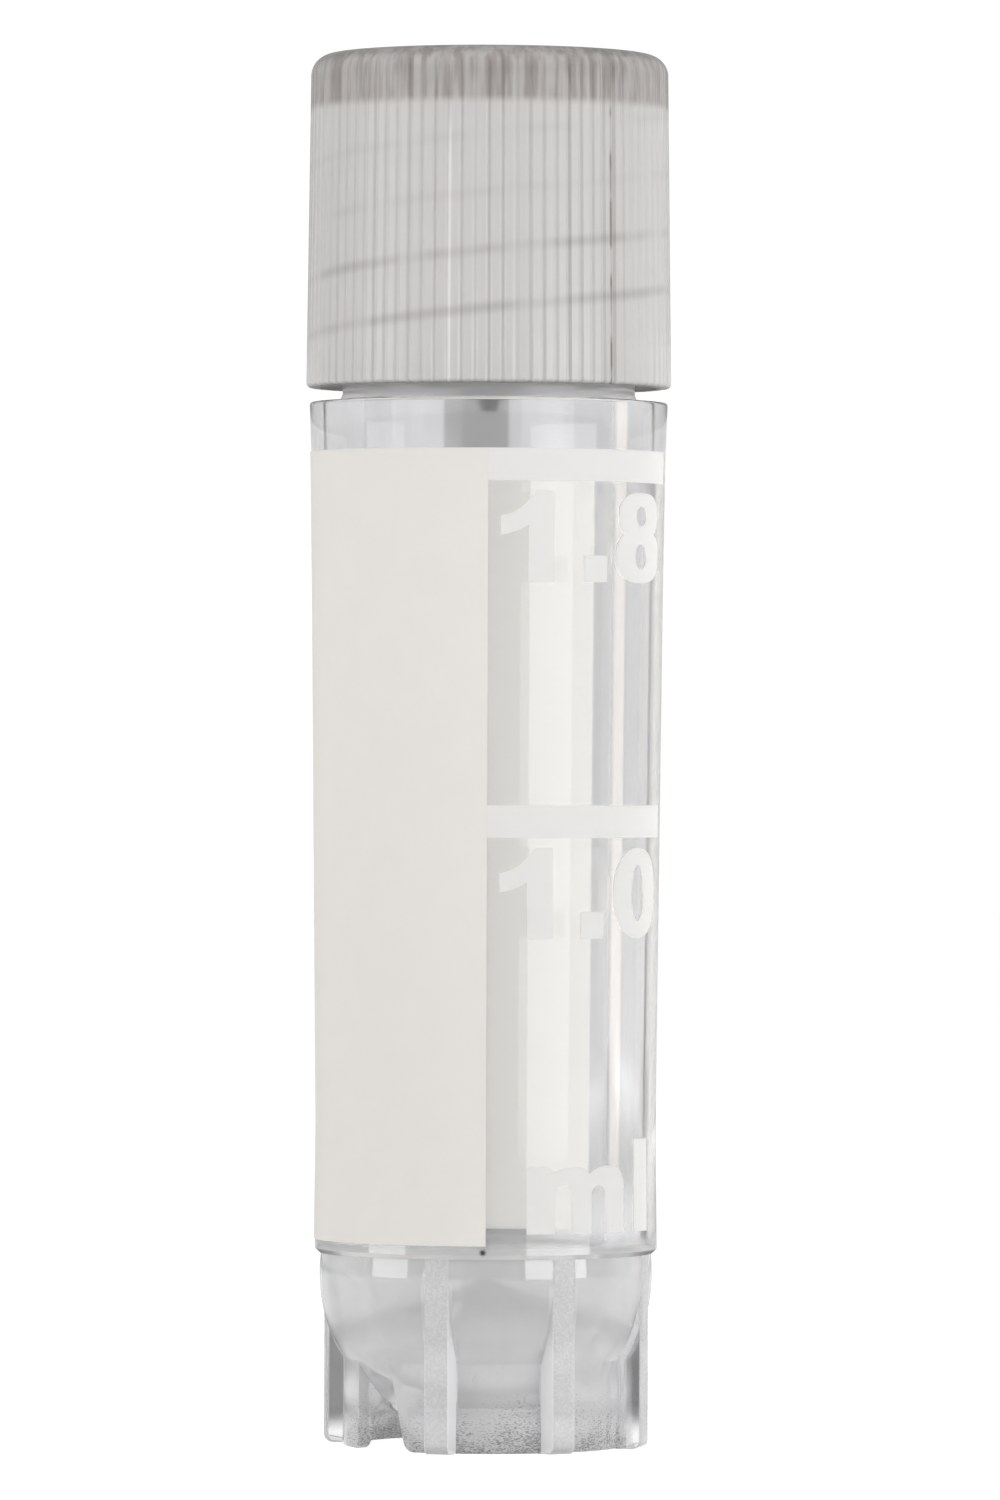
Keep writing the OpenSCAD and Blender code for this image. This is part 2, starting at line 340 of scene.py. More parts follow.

# Fine dark marks gather low on the skirt, in patches, and the skirt is tinted darker towards
# its lower edge. One dark speck sits in the wall under the patch.
rows = noise_of(tree, stretched(tree, place, 3.0), 0.1, 3.0)
patches = noise_of(tree, place, 0.9)
more_low = ramp(tree, height, 0.3 * MM, 2.3 * MM, 0.07, -0.14, smooth=False)
clustered = math_node(tree, "ADD", math_node(tree, "MULTIPLY_ADD", patches, 0.3, rows), more_low)
marked = ramp(tree, clustered, 0.67, 0.83, 0.0, 1.0)
# The skirt is tinted darker towards its lower edge.
low_darkening = ramp(tree, height, 0.1 * MM, 1.8 * MM, 0.16, 0.0, smooth=False)
on_skirt = overlap(tree, below(tree, radius, SKIRT_R + 0.07, SKIRT_R + 0.12),
                   above(tree, radius, SKIRT_BORE_R - 0.4, SKIRT_BORE_R - 0.3),
                   below(tree, height, 2.7, 3.0))
skirt_darkening = math_node(tree, "MULTIPLY", on_skirt, math_node(tree, "MULTIPLY_ADD", marked, 0.65, low_darkening))
marks_and_darkening = math_node(tree, "MAXIMUM", skirt_darkening, spot(tree, place, SPECK, 0.16))
tint = mixed_colour(tree, marks_and_darkening, CLEAR, DARK_TINT)
tree.links.new(tint, shader.inputs["Base Color"])

# %% Dull faces and the gloss
dulled = ramp(tree, pits, 0.35, 0.65, 0.1, 0.18)
roughness = math_node(tree, "MULTIPLY_ADD", on_face, dulled, 0.05)
tree.links.new(roughness, shader.inputs["Roughness"])
gloss = math_node(tree, "MULTIPLY", in_foot, math_node(tree, "SUBTRACT", 1.0, on_face))
tree.links.new(gloss, shader.inputs["Coat Weight"])
grained(tree, shader, pits, math_node(tree, "MULTIPLY", on_face, 0.06))

# %% Milk and haze
WALL_MILK = 0.05

# Milk is the share of light that the plastic scatters back instead of passing it.
milk = WALL_MILK
for mask, share in ((in_foot, 0.3), (below(tree, height, 3.3, 3.9), 0.12), (milky_flank, 0.5),
                    (on_neck, 0.3), (on_face, ramp(tree, pits, 0.4, 0.65, 0.06, 0.16))):
    milk = math_node(tree, "MULTIPLY_ADD", mask, share, milk)
milk = math_node(tree, "MAXIMUM", math_node(tree, "MULTIPLY", milk, off_clear), marks_and_darkening)
tree.links.new(math_node(tree, "SUBTRACT", 1.0, milk), shader.inputs["Transmission Weight"])

# Some light also spreads through the milky parts, from whichever side it comes.
spread = add(tree, "ShaderNodeBsdfTranslucent", {"Color": tint})
hazy = math_node(tree, "MULTIPLY", math_node(tree, "MAXIMUM", in_foot, on_neck), off_clear)
haze = math_node(tree, "MULTIPLY_ADD", hazy, 0.15, 0.02)
both = add(tree, "ShaderNodeMixShader", {0: haze, 1: shader.outputs[0], 2: spread.outputs[0]})
tree.links.new(both.outputs[0], tree.nodes["Material Output"].inputs["Surface"])
print("tube plastic:", len(tree.nodes), "nodes")

# %% [markdown]
# ## The hazy plastic of the cap
# The cap is the same plastic with a frosted look: it glows softly and hides what is behind
# it. One crest is made whiter as a painted highlight. The grooves are clearer, and they and
# the rounded top edge are tinted grey as painted shade, as are soft slanting bands where the
# thread lies inside. A low transmission share with some roughness and a strong dimming inside
# gives the haze, and masks of radius and height tell the grooves from the crests.

# %% Hazy polypropylene
HAZY, PAINTED_SHADE_GREY = "#fdfbfa", "#bbb3af"
CAP_TOP_R, CAP_ROUND = 6.235, 0.75
cap_pp, tree, shader = new_material("hazy_polypropylene", HAZY, IOR=1.49, Roughness=0.2)
dims_inside(tree, 260.0, "#a8a29e")
place, turn, radius, height = cylinder_place(tree)
# A moulded grain is too fine to show, so it is drawn at 0.3 mm. It breaks up the highlights.
grained(tree, shader, noise_of(tree, place, 0.3), 0.2)

# %% Grooves, crests and the top edge
outer_part = above(tree, radius, 5.3, 5.75)
crest = ramp(tree, height, CAP_Z * MM, (TOP_Z - CAP_ROUND) * MM, CAP_OPEN_R * MM, CAP_TOP_R * MM,
             smooth=False)
depth = math_node(tree, "SUBTRACT", crest, radius)
in_groove = overlap(tree, above(tree, depth, 0.02, 0.25), outer_part)
# Painted shade: the grooves are tinted grey, and the rounded top edge is tinted grey in blots.
mottle = ramp(tree, noise_of(tree, stretched(tree, place, 0.12), 0.35), 0.35, 0.65, 0.45, 0.9)
on_top = overlap(tree, above(tree, height, TOP_Z - 2.1, TOP_Z - 1.7), mottle, outer_part)
painted_shade = math_node(tree, "MAXIMUM", math_node(tree, "MULTIPLY", in_groove, 0.4), on_top)
tint = mixed_colour(tree, painted_shade, HAZY, PAINTED_SHADE_GREY)

# %% Painted shade of the thread inside the cap
THREAD_SHADE = "#b6b1af"
ROOT_Z = 39.44         # height of one root at the front


def turn_from_front(tree, turn):
    """The angle from the front (-Y) towards +X, from -pi to pi, with its break at the back."""
    return math_node(tree, "WRAP", math_node(tree, "ADD", turn, math.pi / 2), math.pi, -math.pi)


# The shade of the thread's roots inside is painted on the wall as soft slanting bands.
climb = math_node(tree, "DIVIDE", math_node(tree, "SUBTRACT", height, ROOT_Z * MM), LEAD / STARTS * MM)
wound = math_node(tree, "DIVIDE", turn_from_front(tree, turn), 2 * math.pi / STARTS)
phase = math_node(tree, "SUBTRACT", climb, wound)
off_root = math_node(tree, "MULTIPLY", math_node(tree, "PINGPONG", phase, 0.5), LEAD / STARTS)
painted_thread_shade = overlap(tree, ramp(tree, off_root, 0.0, 0.32, 1.0, 0.0),
               ramp(tree, noise_of(tree, place, 2.5), 0.35, 0.6, 0.25, 1.0),
               above(tree, height, 38.2, 38.9), ramp(tree, height, 41.6 * MM, 43.2 * MM, 1.0, 0.25))
tint = mixed_colour(tree, math_node(tree, "MULTIPLY", painted_thread_shade, 0.4), tint, THREAD_SHADE)

# %% Dirt in one groove and a painted highlight on one crest
STREAK = "#7d736d"
STREAK_ANGLE, HIGHLIGHT_CREST_ANGLE = 42.0, -12.6


def near(tree, turn, radius, angle, low, high):
    """A thin upright line at an angle from the front towards +X, with half widths in millimetres."""
    away = math_node(tree, "ABSOLUTE", math_node(tree, "SUBTRACT", turn, math.radians(angle - 90)))
    return below(tree, math_node(tree, "MULTIPLY", away, radius), low, high)


# A broken streak of dirt lies in one groove, and one crest is made whiter as a painted highlight.
along = add(tree, "ShaderNodeCombineXYZ", {"Z": height}).outputs[0]
broken = ramp(tree, noise_of(tree, along, 1.6), 0.4, 0.56, 0.3, 0.9)
streak = overlap(tree, near(tree, turn, radius, STREAK_ANGLE, 0.05, 0.13), broken,
                 below(tree, height, TOP_Z - 2.3, TOP_Z - 1.7))
tree.links.new(mixed_colour(tree, streak, tint, STREAK), shader.inputs["Base Color"])
painted_crest_highlight = overlap(tree, near(tree, turn, radius, HIGHLIGHT_CREST_ANGLE, 0.03, 0.08),
                 ramp(tree, height, (TOP_Z - 4.0) * MM, (TOP_Z - 1.5) * MM, 0.8, 0.0))
hiding = math_node(tree, "MAXIMUM", streak, math_node(tree, "MULTIPLY", painted_crest_highlight, 0.8))
see_through = math_node(tree, "MULTIPLY", math_node(tree, "MULTIPLY_ADD", in_groove, 0.15, 0.38),
                        math_node(tree, "SUBTRACT", 1.0, hiding))
tree.links.new(see_through, shader.inputs["Transmission Weight"])
print("cap plastic:", len(tree.nodes), "nodes")

# %% [markdown]
# ## Silicone and inks
# The washer is moulded silicone, which is soft, dull and slightly see-through. The patch and
# the scale are screen printed with a matt white ink. An ink film is so thin that light from
# behind comes through it, so each ink mixes a plain matt shader with a translucent one.

# %% Silicone, patch ink and scale ink
INK_LIGHT = "#faf9f5"  # colour of the light that comes through an ink film
silicone, tree, shader = new_material(
    "silicone_rubber", "#e8e6e2", IOR=1.41, Transmission_Weight=0.25, Roughness=0.4)
grained(tree, shader, noise_of(tree, add(tree, "ShaderNodeTexCoord").outputs["Object"], 0.4), 0.2)


def ink(name, darker, lighter, blots, roughness):
    """A thin matt ink with a slight mottle, which lets some light through from behind.

    The face that lies on the wall lets more through, as ink glows when it is seen through plastic.
    """
    material, tree, shader = new_material(name, lighter, Roughness=roughness)
    place = add(tree, "ShaderNodeTexCoord").outputs["Object"]
    mottle = noise_of(tree, place, blots, 4.0)
    tree.links.new(mixed_colour(tree, mottle, darker, lighter), shader.inputs["Base Color"])
    behind = add(tree, "ShaderNodeBsdfTranslucent", {"Color": linear(INK_LIGHT)})
    normal = add(tree, "ShaderNodeNewGeometry").outputs["Normal"]
    outwards = add(tree, "ShaderNodeVectorMath", {0: normal, 1: place}, operation="DOT_PRODUCT")
    share = ramp(tree, outwards.outputs["Value"], -0.001, 0.001, 0.9, 0.35, smooth=False)
    mixed = add(tree, "ShaderNodeMixShader", {0: share, 1: shader.outputs[0], 2: behind.outputs[0]})
    tree.links.new(mixed.outputs[0], tree.nodes["Material Output"].inputs["Surface"])
    return material


patch_ink = ink("writing_ink", "#f7f3f0", "#fcf9f6", 1.11, 0.6)
scale_ink = ink("scale_ink", "#f6f6f7", "#fcfcfc", 0.667, 0.5)
print("materials:", [material.name for material in bpy.data.materials])

# %% [markdown]
# ## Geometry Nodes for what repeats
# A thread is one ridge that climbs as it turns, and a grip is one groove repeated round a
# cap. Both only move the turned rings in or out, by an amount that follows a rule, so one
# small node tree each is enough. The ribs of the foot are copies of one rib.

# %% Helpers for Geometry Nodes
def new_tree(name, sockets):
    """A Geometry Nodes tree with named inputs, and its input and output nodes."""
    tree = bpy.data.node_groups.new(name, "GeometryNodeTree")
    tree.interface.new_socket("Geometry", in_out="INPUT", socket_type="NodeSocketGeometry")
    tree.interface.new_socket("Geometry", in_out="OUTPUT", socket_type="NodeSocketGeometry")
    for label, kind in sockets:
        tree.interface.new_socket(label, in_out="INPUT", socket_type="NodeSocket" + kind)
    return tree, add(tree, "NodeGroupInput"), add(tree, "NodeGroupOutput")


def grown(piece, tree, **values):
    """Runs a tree on a piece and keeps the result as a plain mesh."""
    modifier = piece.modifiers.new(tree.name, "NODES")
    modifier.node_group = tree
    sockets = {item.name: item.identifier for item in tree.interface.items_tree if item.in_out == "INPUT"}
    for label, value in values.items():
        modifier[sockets[label.replace("_", " ")]] = value
    return plain(piece)


def plain(piece):
    """Replaces a piece's mesh by what its modifiers make of it, and removes them."""
    bpy.context.view_layer.update()
    evaluated = piece.evaluated_get(bpy.context.evaluated_depsgraph_get())
    mesh = bpy.data.meshes.new_from_object(evaluated)
    piece.modifiers.clear()
    piece.data = mesh
    mesh.name = piece.name
    return piece


def radial_tree(name, layer, sockets, rule):
    """A tree that moves each point outwards by a rule of its angle and height, times a layer."""
    tree, given, out = new_tree(name, sockets + [("Material", "Material")])
    place = add(tree, "GeometryNodeInputPosition").outputs[0]
    xyz = add(tree, "ShaderNodeSeparateXYZ", {"Vector": place}).outputs
    turn = math_node(tree, "DIVIDE", math_node(tree, "ARCTAN2", xyz["Y"], xyz["X"]), 2 * math.pi)
    strength = add(tree, "GeometryNodeInputNamedAttribute", {"Name": layer}, data_type="FLOAT")
    amount = math_node(tree, "MULTIPLY", rule(tree, given.outputs, turn, xyz["Z"]),
                       strength.outputs["Attribute"])
    flat = add(tree, "ShaderNodeCombineXYZ", {"X": xyz["X"], "Y": xyz["Y"]}).outputs[0]
    outwards = add(tree, "ShaderNodeVectorMath", {0: flat}, operation="NORMALIZE").outputs[0]
    offset = add(tree, "ShaderNodeVectorMath", {0: outwards, "Scale": amount}, operation="SCALE").outputs[0]
    moved = add(tree, "GeometryNodeSetPosition", {"Geometry": given.outputs["Geometry"], "Offset": offset})
    real = add(tree, "GeometryNodeRealizeInstances", {"Geometry": moved.outputs[0]})
    painted = add(tree, "GeometryNodeSetMaterial", {"Geometry": real.outputs[0],
                  "Material": given.outputs["Material"]})
    tree.links.new(painted.outputs[0], out.inputs["Geometry"])
    return tree


# %% The thread's rule and the grip's rule
SHALLOWEST = 0.55      # depth of the most worn groove, as a share of the deepest one


def thread_rule(tree, given, turn, z):
    """A rounded ridge: height times a soft step of the distance from its crest."""
    pitch = math_node(tree, "DIVIDE", given["Lead"], given["Starts"])
    climb = math_node(tree, "DIVIDE", math_node(tree, "SUBTRACT", z, given["First height"]), pitch)
    phase = math_node(tree, "SUBTRACT", climb, math_node(tree, "MULTIPLY", turn, given["Starts"]))
    away = math_node(tree, "PINGPONG", phase, 0.5)
    ridge = ramp(tree, away, 0.14, 0.3, 1.0, 0.0)
    return math_node(tree, "MULTIPLY", ridge, given["Ridge height"])


def grip_rule(tree, given, turn, z):
    """Narrow grooves between wide ridges, each groove a little deeper or shallower than the next."""
    place = math_node(tree, "MULTIPLY", turn, given["Ridges"])
    away = math_node(tree, "PINGPONG", place, 0.5)
    groove = ramp(tree, away, 0.06, 0.26, 1.0, 0.0)
    number = math_node(tree, "FLOORED_MODULO", math_node(tree, "ROUND", place), given["Ridges"])
    worn = add(tree, "FunctionNodeRandomValue", {"ID": number, "Seed": given["Seed"]}, data_type="FLOAT")
    worn.inputs[2].default_value, worn.inputs[3].default_value = SHALLOWEST, 1.0
    depth = math_node(tree, "MULTIPLY", worn.outputs[1], given["Groove depth"])
    return math_node(tree, "MULTIPLY", math_node(tree, "MULTIPLY", groove, depth), -1.0)


thread_tree = radial_tree("helical_thread", "thread", [("Lead", "Float"), ("Starts", "Float"),
                          ("First height", "Float"), ("Ridge height", "Float")], thread_rule)
grip_tree = radial_tree("grip_ridges", "grip", [("Ridges", "Float"), ("Groove depth", "Float"),
                        ("Seed", "Int")], grip_rule)
print("trees:", [tree.name for tree in bpy.data.node_groups])

# %% [markdown]
# ## The tube
# The tube is moulded in one piece, with an even wall. It could be a solid with a bore cut out
# of it, but one half section that is turned gives a closed wall with even faces: up the round
# bottom, out over the step, up the tapered wall, in to the neck, over the rim, and down the
# bore. The neck's rings are close together so that the thread can be raised from them.

# %% Body of the tube
EDGE = 0.12
NECK_FILLET = 0.28
THREAD_LOW, THREAD_HIGH, THREAD_FADE = 38.5, 45.3, 0.5


def faded(z, low, high, fade):
    """Goes from 0 to 1 and back to 0 across a range, with soft ends."""
    inside = min(z - low, high - z) / fade
    inside = min(max(inside, 0.0), 1.0)
    return inside * inside * (3 - 2 * inside)


def neck_run(radius, low, high, step=0.1):
    """Close rings up the neck or the cap's bore, where a thread may be raised."""
    count = round((high - low) / step)
    heights = [low + (high - low) * i / count for i in range(count + 1)]
    return [(radius, z, faded(z, THREAD_LOW, THREAD_HIGH, THREAD_FADE)) for z in heights]


bulb_centre = (0.0, BULB_LIFT + BULB_R)
step_turn = math.degrees(math.asin((STEP_Z - bulb_centre[1]) / BULB_R))
bore_centre = (0.0, FLOOR_Z + BORE_R)
tube_section = (
    [(0.0, BULB_LIFT)] + arc(bulb_centre, BULB_R, -88, step_turn, 36)
    + [(WALL[0][1] - 0.16, STEP_Z)]
    + [(r, z) for z, r in WALL[:-1]]
    + arc((WALL[-1][1] - EDGE, SHOULDER_Z - EDGE), EDGE, 0, 90, 4)
    + [(NECK_R + NECK_FILLET, SHOULDER_Z), (NECK_R + 0.08, SHOULDER_Z + 0.08)]
    + neck_run(NECK_R, SHOULDER_Z + NECK_FILLET, RIM_Z - EDGE)
    + arc((NECK_R - EDGE, RIM_Z - EDGE), EDGE, 0, 90, 4)[1:]
    + arc((MOUTH_R + EDGE, RIM_Z - EDGE), EDGE, 90, 180, 4)
    + run((MOUTH_R, RIM_Z - 2 * EDGE), (BORE_R, bore_centre[1]), 10)[1:]
    + arc(bore_centre, BORE_R, 0, -88, 28)[1:]
    + [(0.0, FLOOR_Z)]
)
vial = turned("vial_tube", tube_section, 144)
grown(vial, thread_tree, Lead=LEAD * MM, Starts=float(STARTS), First_height=THREAD_LOW * MM,
      Ridge_height=0.42 * MM, Material=clear_pp)
print("tube faces:", len(vial.data.polygons))

# %% [markdown]
# ## The locking foot
# Under the round bottom is a short skirt with six ribs and two notches, which keys into a
# rack so that the cap can be turned with one hand. One rib is lofted from a few outlines.
# Geometry Nodes copy it round the foot, join the copies to the skirt, cut the notches and join
# it all to the tube, because moulded plastic is one clear body with no walls inside it.

# %% Skirt, rib and notch
RIB_ROOT_R = 4.6       # the ribs start inside the skirt, so that no gap is left
RIB_CORNER = 0.09
FOOT_ROUND = 0.3       # rounding of a rib's lower edge
ROOT_ROUND = 0.5       # rounding where the inside of the skirt meets the round bottom
NOTCH_ANGLE = -48.0


def facing(angle):
    """Turns +X to an angle that is counted from the front (-Y) towards +X."""
    return Matrix.Rotation(math.radians(angle - 90), 4, "Z")


def lofted(name, outlines):
    """A closed solid through outlines that have the same number of points."""
    bm = bmesh.new()
    rings = [[bm.verts.new(Vector(p) * MM) for p in outline] for outline in outlines]
    for low, high in zip(rings, rings[1:]):
        for i in range(len(low)):
            j = (i + 1) % len(low)
            bm.faces.new([low[i], low[j], high[j], high[i]])
    bm.faces.new(rings[0][::-1])
    bm.faces.new(rings[-1])
    bmesh.ops.recalc_face_normals(bm, faces=bm.faces)
    return made(name, bm)


def rib_outline(face_r, z):
    """One rib seen from above, with rounded outer corners."""
    corner = (face_r - RIB_CORNER, RIB_CORNER - RIB_FACE)
    right = [(RIB_ROOT_R, -RIB_ROOT)] + arc(corner, RIB_CORNER, -86, 0, 4)
    left = [(x, -y) for x, y in reversed(right)]
    return [(x, y, z) for x, y in right + left]


rise = [FOOT_ROUND * (1 - math.cos(math.radians(t))) for t in (0, 20, 40, 60, 75, 90)]
rib = lofted("rib", [
    rib_outline(BULB_R - FOOT_ROUND + math.sqrt(FOOT_ROUND**2 - (FOOT_ROUND - z) ** 2), z) for z in rise
] + [rib_outline(BULB_R, z) for z in (2.0, 4.0, STEP_Z + 0.2)])
skirt = turned("skirt", [(SKIRT_BORE_R + 0.2, 0)] + arc((SKIRT_R - 0.1, 0.1), 0.1, -90, 0, 3)
               + [(SKIRT_R, 2.0), (SKIRT_R, 4.4)] + arc(bulb_centre, (BULB_R + BORE_R) / 2, -19, -53, 6)
               + arc((SKIRT_BORE_R - ROOT_ROUND, 1.03), ROOT_ROUND, 127, 0, 8)
               + [(SKIRT_BORE_R, 0.56)], 144, loop=True)
# The notch as the eye sees it, flared at the floor: (sideways, height) from its left foot round
notch_side = [(-1.55, -1), (-1.55, -0.02), (-1.38, 0.03), (-1.25, 0.13), (-1.18, 0.3), (-1.17, 3.5),
              (0.46, 3.5), (0.8, 2.0), (1.08, 0.7), (1.17, 0.32), (1.27, 0.14), (1.42, 0.03),
              (1.6, -0.02), (1.6, -1)]
notch = lofted("notch", [[(x, t, z) for t, z in notch_side] for x in (3.6, 6.6)])
notch.data.transform(facing(NOTCH_ANGLE))
print("parts of the foot:", {part.name: len(part.data.polygons) for part in (skirt, rib, notch)})

# %% Geometry Nodes for the foot
def copies(tree, shape, per_half, pitch, first):
    """A shape from an object, copied a few times on each half of the foot and made real."""
    index = add(tree, "GeometryNodeInputIndex").outputs[0]
    half = math_node(tree, "FLOOR", math_node(tree, "DIVIDE", index, per_half))
    place = math_node(tree, "MODULO", index, per_half)
    half_turn = math_node(tree, "MULTIPLY_ADD", half, math.pi, first)
    turn = math_node(tree, "MULTIPLY_ADD", place, pitch, half_turn)
    rotation = add(tree, "ShaderNodeCombineXYZ", {"Z": turn}).outputs[0]
    source = add(tree, "GeometryNodeObjectInfo", {"Object": shape}).outputs["Geometry"]
    points = add(tree, "GeometryNodePoints", {"Count": math_node(tree, "MULTIPLY", per_half, 2.0)})
    placed = add(tree, "GeometryNodeInstanceOnPoints", {"Points": points.outputs[0],
                 "Instance": source, "Rotation": rotation})
    return add(tree, "GeometryNodeRealizeInstances", {"Geometry": placed.outputs[0]}).outputs[0]


def joined(tree, operation, first, second):
    """Adds or cuts one closed shape by another."""
    node = add(tree, "GeometryNodeMeshBoolean", operation=operation, solver="MANIFOLD")
    if operation == "UNION":
        tree.links.new(first, node.inputs["Mesh 2"])
    else:
        tree.links.new(first, node.inputs["Mesh 1"])
    tree.links.new(second, node.inputs["Mesh 2"])
    return node.outputs["Mesh"]


foot_tree, given, out = new_tree("ribbed_foot", [
    ("Skirt", "Object"), ("Rib", "Object"), ("Ribs per half", "Int"), ("Rib pitch", "Float"),
    ("Rib angle", "Float"), ("Notch", "Object"), ("Material", "Material")])
skirt_shape = add(foot_tree, "GeometryNodeObjectInfo", {"Object": given.outputs["Skirt"]})
ribs = copies(foot_tree, given.outputs["Rib"], given.outputs["Ribs per half"],
              given.outputs["Rib pitch"], given.outputs["Rib angle"])
notches = copies(foot_tree, given.outputs["Notch"], 1.0, 0.0, 0.0)
foot = joined(foot_tree, "UNION", skirt_shape.outputs["Geometry"], ribs)
foot = joined(foot_tree, "DIFFERENCE", foot, notches)
whole = joined(foot_tree, "UNION", given.outputs["Geometry"], foot)
real = add(foot_tree, "GeometryNodeRealizeInstances", {"Geometry": whole})
painted = add(foot_tree, "GeometryNodeSetMaterial", {"Geometry": real.outputs[0],
              "Material": given.outputs["Material"]})
foot_tree.links.new(painted.outputs[0], out.inputs["Geometry"])

grown(vial, foot_tree, Skirt=skirt, Rib=rib, Ribs_per_half=HALF_RIBS, Rib_pitch=math.radians(RIB_PITCH),
      Rib_angle=math.radians(RIB_ANGLE - 90), Notch=notch, Material=clear_pp)
for helper in (skirt, rib, notch):
    bpy.data.objects.remove(helper)
smoothed(vial)
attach(vial, "tube")
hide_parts("tube")
print("tube with foot:", len(vial.data.polygons), "faces")

# %% [markdown]
# ## The cap
# Fingers turn the cap by a ring of fine upright ridges. They could be copies of one ridge, but
# one turned surface whose points move in at the grooves stays closed, and lets the grooves
# fade out at the rounded top edge. The outside needs many points round it for that. The inside
# only has the thread, so it gets an eighth as many, and the flat edge at the mouth joins both.

# %% Cap
GROOVE_R = 6.11        # radius across the bottoms of the grip grooves
CAP_BORE_R = 5.65
LEAD_IN_R = 5.9
GRIP_RIDGES = 84
GROOVE = 0.08          # groove depth at full strength


def gripped(stations):
    """Stations whose strength fades where the section comes in to GROOVE_R."""
    return [(s[0], s[1], min(1.0, max(0.0, (s[0] - GROOVE_R) / GROOVE))) for s in stations]


outside = gripped(
    [(0.0, TOP_Z), (2.0, TOP_Z), (4.0, TOP_Z)]
    + arc((CAP_TOP_R - CAP_ROUND, TOP_Z - CAP_ROUND), CAP_ROUND, 90, 0, 12)
    + run((CAP_TOP_R, TOP_Z - CAP_ROUND - 0.1), (CAP_OPEN_R, CAP_Z + 0.15), 6)
    + arc((CAP_OPEN_R - 0.15, CAP_Z + 0.15), 0.15, -20, -90, 3))
inside = (
    [(LEAD_IN_R, CAP_Z), (LEAD_IN_R, CAP_Z + 0.2)]
    + bend((LEAD_IN_R, CAP_Z + 0.35), (CAP_BORE_R, CAP_Z + 0.45), (CAP_BORE_R, CAP_Z + 0.83))
    + neck_run(CAP_BORE_R, CAP_Z + 0.85, WASHER_Z - 0.8)
    + arc((CAP_BORE_R - 0.1, WASHER_Z - 0.1), 0.1, 0, 90, 3)
    + [(3.5, WASHER_Z), (2.0, WASHER_Z), (0.0, WASHER_Z)])


def cap_surface(name, outer, outer_count, inner, inner_count):
    """The cap as one closed surface. The flat edge round its mouth joins its two sides."""
    bm = bmesh.new()
    grip = bm.verts.layers.float.new("grip")
    thread = bm.verts.layers.float.new("thread")
    edge = swept(bm, outer, outer_count, grip)[-1]
    lip = swept(bm, inner, inner_count, thread)[0]
    share = outer_count // inner_count
    for i in range(inner_count):
        fan = [edge[(i * share + k) % outer_count] for k in range(share + 1)]
        bm.faces.new(fan + [lip[(i + 1) % inner_count], lip[i]])
    bmesh.ops.recalc_face_normals(bm, faces=bm.faces)
    return made(name, bm)


cap = cap_surface("vial_cap", outside, GRIP_RIDGES * 16, inside, GRIP_RIDGES * 2)
grown(cap, grip_tree, Ridges=float(GRIP_RIDGES), Groove_depth=GROOVE * MM, Seed=7, Material=cap_pp)
grown(cap, thread_tree, Lead=LEAD * MM, Starts=float(STARTS), First_height=(THREAD_LOW + 1) * MM,
      Ridge_height=-0.4 * MM, Material=cap_pp)
smoothed(cap)
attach(cap, "cap")
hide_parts("cap")
print("cap:", len(cap.data.polygons), "faces")

# %% [markdown]
# ## The seal washer
# A soft silicone ring under the cap's roof seals on the tube's rim. It is turned from a
# section with rounded corners, since a moulded rubber ring has no sharp edge.

# %% Washer
WASHER_HOLE_R = 3.7
soft = 0.12
seal_section = []
for r, z, start in ((WASHER_R - soft, RIM_Z + soft, -90), (WASHER_R - soft, WASHER_Z - soft, 0),
                    (WASHER_HOLE_R + soft, WASHER_Z - soft, 90), (WASHER_HOLE_R + soft, RIM_Z + soft, 180)):
    seal_section += arc((r, z), soft, start, start + 90, 3)
seal = turned("cap_washer", seal_section, 144, loop=True)
seal.data.materials.append(silicone)
smoothed(seal)
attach(seal, "washer")
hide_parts("seal_washer")
print("washer:", len(seal.data.polygons), "faces")

# %% [markdown]
# ## The print
# The patch and the scale are screen printed, so they are thin matt skins on the curved wall. An
# image on the wall would give the same look, but a skin keeps its own ink and sharp edges. The
# patch and the bars follow the wall between two angles and two heights. The figures are drawn
# flat, as they read, and then wrapped round the tube.

# %% Writing patch
INK_GAP = 0.012        # clearance between the wall's facets and the ink
INK = 0.03
PATCH_SWEEP = 238.0    # from the front towards -X and on round the back, in degrees


def on_wall(angle, z, lift):
    """A point over the wall, at an angle from the front towards +X."""
    turn = math.radians(angle - 90)
    r = wall_r(z) + lift
    return Vector((r * math.cos(turn), r * math.sin(turn), z)) * MM


def skin(name, low, high, start, end, step=1.0):
    """A thin closed shell on the wall between two heights and two angles."""
    columns = math.ceil((end - start) / step)
    angles = [start + (end - start) * i / columns for i in range(columns + 1)]
    heights = [low] + [z for z, _ in WALL if low < z < high] + [high]
    bm = bmesh.new()
    layers = [[[bm.verts.new(on_wall(a, z, lift)) for a in angles] for z in heights]
              for lift in (INK_GAP, INK_GAP + INK)]
    for sheet in layers:
        for row, upper in zip(sheet, sheet[1:]):
            for i in range(columns):
                bm.faces.new([row[i], row[i + 1], upper[i + 1], upper[i]])
    under, over = layers
    for inner, outer in ((under[0], over[0]), (under[-1], over[-1]),
                         ([row[0] for row in under], [row[0] for row in over]),
                         ([row[-1] for row in under], [row[-1] for row in over])):
        for i in range(len(inner) - 1):
            bm.faces.new([inner[i], inner[i + 1], outer[i + 1], outer[i]])
    bmesh.ops.recalc_face_normals(bm, faces=bm.faces)
    return made(name, bm)


patch = skin("writing_field", PATCH_LOW, PATCH_HIGH, -PATCH_SWEEP, 0)
patch.data.materials.append(patch_ink)
smoothed(patch)
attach(patch, "tube")
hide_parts("writing_patch")
print("patch:", len(patch.data.polygons), "faces")

